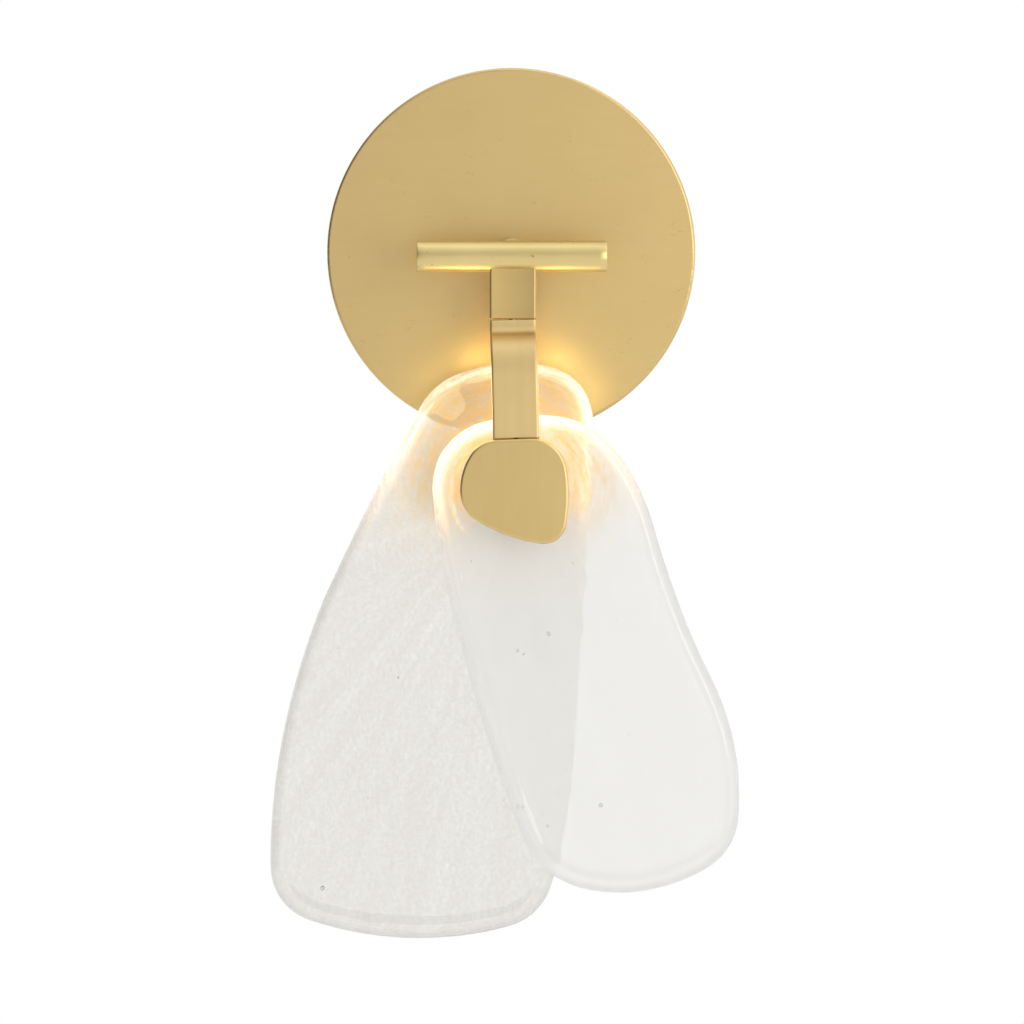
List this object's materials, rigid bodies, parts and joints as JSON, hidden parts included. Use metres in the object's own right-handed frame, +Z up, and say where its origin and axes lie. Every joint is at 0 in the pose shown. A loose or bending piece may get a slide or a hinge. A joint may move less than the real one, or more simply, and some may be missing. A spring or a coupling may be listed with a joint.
{
  "type": "wall sconce",
  "caption": "Wall sconce with a round canopy, a horizontal bar and a bent strap that holds cast glass petals over a hidden light ring behind a pebble-shaped cap.",
  "frame": {"origin": "on the wall, at the centre of the canopy and of its box screw slots", "axes": "+Z up, +Y into the wall, so the front of the sconce faces -Y and +X is to the right of a person facing it"},
  "size_m": [0.1931, 0.0767, 0.3595],
  "materials": {
    "canopy_brass": "satin brushed",
    "bar_brass": "drawn, lightly polished",
    "block_brass": "fine brushed",
    "strap_brass": "brushed lengthwise",
    "cap_brass": "brushed, aged",
    "hub_brass": "turned",
    "screw_brass": "plated",
    "zinc_steel": "zinc plated",
    "ground_green": "green coat",
    "petal_glass": "cast, clear, wavy, with a few bubbles",
    "bush_nylon": "natural nylon",
    "silicone": "translucent matt",
    "core_aluminium": "turned",
    "strip_board": "white board",
    "chip_phosphor": "phosphor",
    "opal_plastic": "opal",
    "driver_white": "moulded",
    "terminal_plastic": "moulded",
    "lead_rubber": "insulated"
  },
  "bodies": {
    "wall_frame": {"canopy": "canopy_brass", "crossbar": "zinc_steel", "canopy_side_screws": "screw_brass", "ground_screw": "ground_green", "led_driver": "driver_white", "driver_nuts": "zinc_steel", "terminal_block": "terminal_plastic", "mains_leads": "lead_rubber", "hollow_stud": "zinc_steel", "stud_washer": "zinc_steel", "stud_nut": "zinc_steel", "post": "bar_brass", "cross_bar": "bar_brass", "stem_block": "block_brass", "stem_dowel": "hub_brass", "strap": "strap_brass", "channel_cover": "strap_brass", "lamp_lead": "lead_rubber", "hub_sleeve": "hub_brass", "front_gasket": "silicone", "lamp_core": "core_aluminium", "led_strip": "strip_board", "led_chips": "chip_phosphor", "diffuser_ring": "opal_plastic", "core_washers": "hub_brass", "rear_gasket": "silicone", "rear_disc": "hub_brass", "rear_cap_nut": "hub_brass", "pebble_cap": "cap_brass", "cap_screws": "zinc_steel"},
    "front_petal": {"front_glass": "petal_glass", "front_glass_bush": "bush_nylon"},
    "rear_petal": {"rear_glass": "petal_glass", "rear_glass_bush": "bush_nylon"}
  },
  "joints": [
    {"name": "front_petal_turn", "type": "hinge", "parent": "wall_frame", "child": "front_petal", "pos_m": [0.00176, -0.06224, -0.09543], "axis": [0, 1, 0], "range_deg": [-12, 12]},
    {"name": "rear_petal_turn", "type": "hinge", "parent": "wall_frame", "child": "rear_petal", "pos_m": [0.00176, -0.03984, -0.09543], "axis": [0, 1, 0], "range_deg": [-12, 12]}
  ]
}
